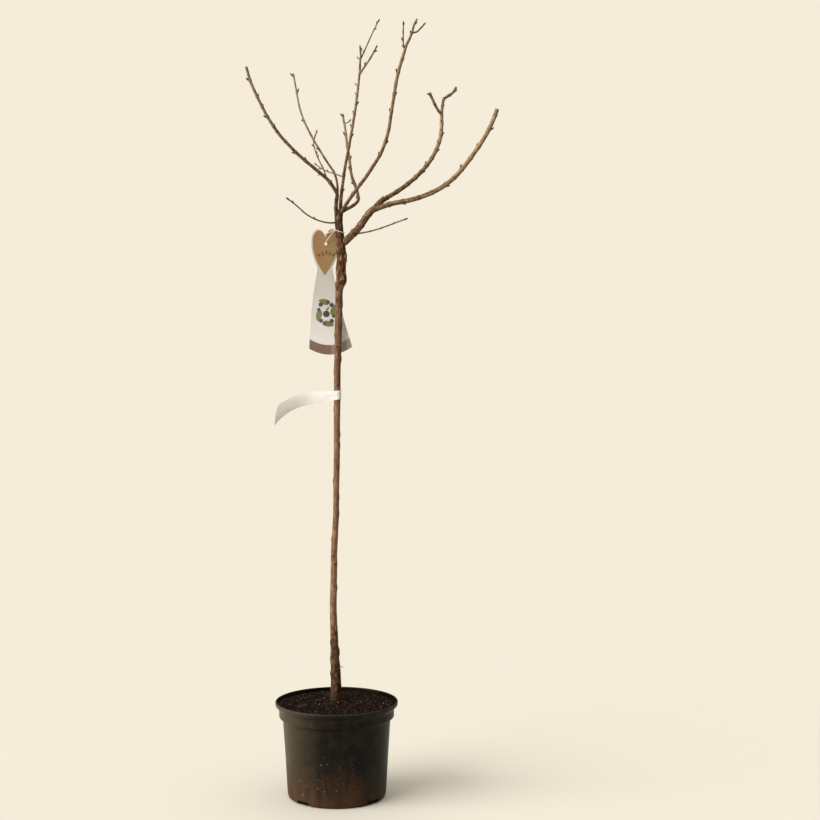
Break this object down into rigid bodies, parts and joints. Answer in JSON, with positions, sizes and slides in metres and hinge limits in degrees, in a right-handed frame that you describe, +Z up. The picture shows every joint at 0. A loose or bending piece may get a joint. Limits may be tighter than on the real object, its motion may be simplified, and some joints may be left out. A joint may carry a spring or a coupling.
{
  "type": "potted jostaberry bush",
  "caption": "Grafted jostaberry in winter: a slim bare stem with an open head of crooked boughs and budded twigs, in a round nursery pot of compost, with a hang tag and a stem label.",
  "frame": {"origin": "centre of the pot's flat underside", "axes": "+Z up along the stem; +X to the right and +Y to the back as the plant is seen in the picture, so the tag's printed face looks along -Y"},
  "size_m": [0.4317, 0.2339, 1.3704],
  "materials": {
    "pot_plastic": "thin black moulded polypropylene, satin",
    "compost": "moist dark compost with fibre, bark chips and white grains",
    "stem_bark": "grey-brown bark, smooth above and rough at the foot and the graft",
    "bough_bark": "grey-brown bark with darker nodes",
    "twigs": "smooth brown shoots with pointed buds",
    "tag_card": "printed plastic card, tan head, pale skirt and brown lower band",
    "elastic": "white elastic",
    "label_film": "white label film"
  },
  "bodies": {
    "root": {"pot": "pot_plastic", "compost": "compost", "trunk": "stem_bark", "fork_left": "bough_bark", "bough_left": "bough_bark", "bough_back_left": "bough_bark", "bough_centre": "bough_bark", "bough_front": "bough_bark", "bough_crooked": "bough_bark", "bough_right": "bough_bark", "bough_right_inner": "bough_bark", "bough_right_outer": "bough_bark", "twigs_centre": "twigs", "twigs_front": "twigs", "twigs_right": "twigs", "twigs_crooked": "twigs", "twigs_left": "twigs", "twigs_middle": "twigs", "twigs_low_right": "twigs", "twigs_low_left": "twigs", "tag": "tag_card", "tag_loop": "elastic", "stem_label": "label_film"}
  },
  "joints": []
}
